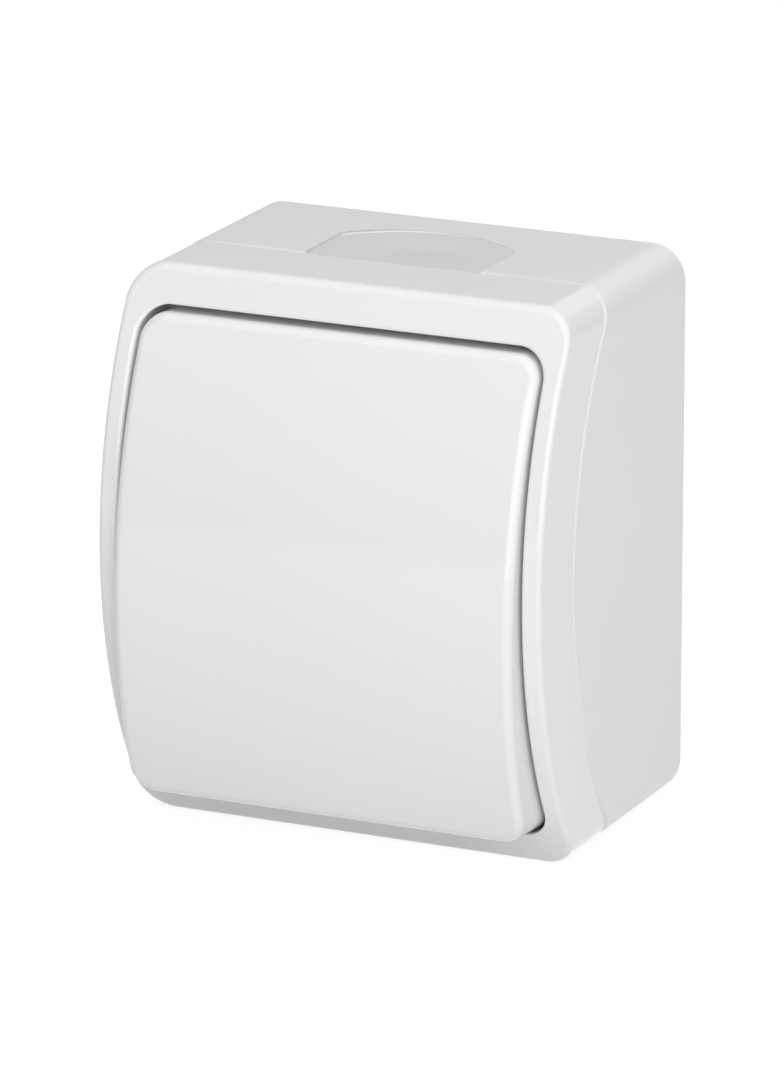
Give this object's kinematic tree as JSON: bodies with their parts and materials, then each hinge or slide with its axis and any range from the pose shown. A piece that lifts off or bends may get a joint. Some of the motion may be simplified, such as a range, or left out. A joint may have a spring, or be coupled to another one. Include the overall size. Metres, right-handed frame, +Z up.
{
  "type": "single-pole switch",
  "caption": "Surface-mounted splash-proof rocker switch: deep rounded box, bowed front frame, large convex key, soft cable entry in the top.",
  "frame": {"origin": "middle of the flat back face, which lies against the wall", "axes": "+X to the right seen from the front, +Y into the wall, +Z up"},
  "size_m": [0.071, 0.0562, 0.085],
  "materials": {
    "casing_plastic": "smooth moulded, satin",
    "white_plastic": "smooth moulded, glossy",
    "gland_plastic": "soft, satin",
    "seal_rubber": "matt",
    "ivory_plastic": "moulded, satin",
    "thermoset": "moulded, satin",
    "plated_steel": "bright plated",
    "contact_brass": "stamped, bright",
    "silver": "bright silver alloy",
    "screw_steel": "bright plated"
  },
  "bodies": {
    "casing": {"rear_box": "casing_plastic", "front_frame": "white_plastic", "cable_gland": "gland_plastic", "frame_gasket": "seal_rubber", "splash_boot": "seal_rubber", "mechanism_base": "thermoset", "mechanism_housing": "thermoset", "mounting_strap": "plated_steel", "fixed_contact": "contact_brass", "common_contact": "contact_brass", "supply_clamp": "contact_brass", "load_clamp": "contact_brass", "fixed_contact_tip": "silver", "supply_screw": "screw_steel", "load_screw": "screw_steel", "frame_screw_upper": "screw_steel", "frame_screw_lower": "screw_steel", "strap_screw_left": "screw_steel", "strap_screw_right": "screw_steel"},
    "rocker": {"rocker_key": "white_plastic", "rocker_cradle": "ivory_plastic", "plunger_spring": "screw_steel"},
    "plunger_pin": {"plunger": "screw_steel"},
    "blade": {"contact_rocker": "contact_brass", "moving_contact_tip": "silver"}
  },
  "joints": [
    {"name": "rocker_tilt", "type": "hinge", "parent": "casing", "child": "rocker", "pos_m": [0, -0.046, -0.0002], "axis": [1, 0, 0], "range_deg": [0, 8]},
    {"name": "plunger_press", "type": "slide", "parent": "rocker", "child": "plunger_pin", "axis": [0, -0.9976, 0.0698], "range_m": [0, 0.0008], "stiffness_N_per_m": 200, "deforming": ["plunger_spring"]},
    {"name": "contact_flip", "type": "hinge", "parent": "casing", "child": "blade", "pos_m": [0, -0.0285, -0.0002], "axis": [1, 0, 0], "range_deg": [-16, 0]}
  ],
  "couplings": [
    {"joint": "contact_flip", "follows": "rocker_tilt", "ratio": -2}
  ]
}
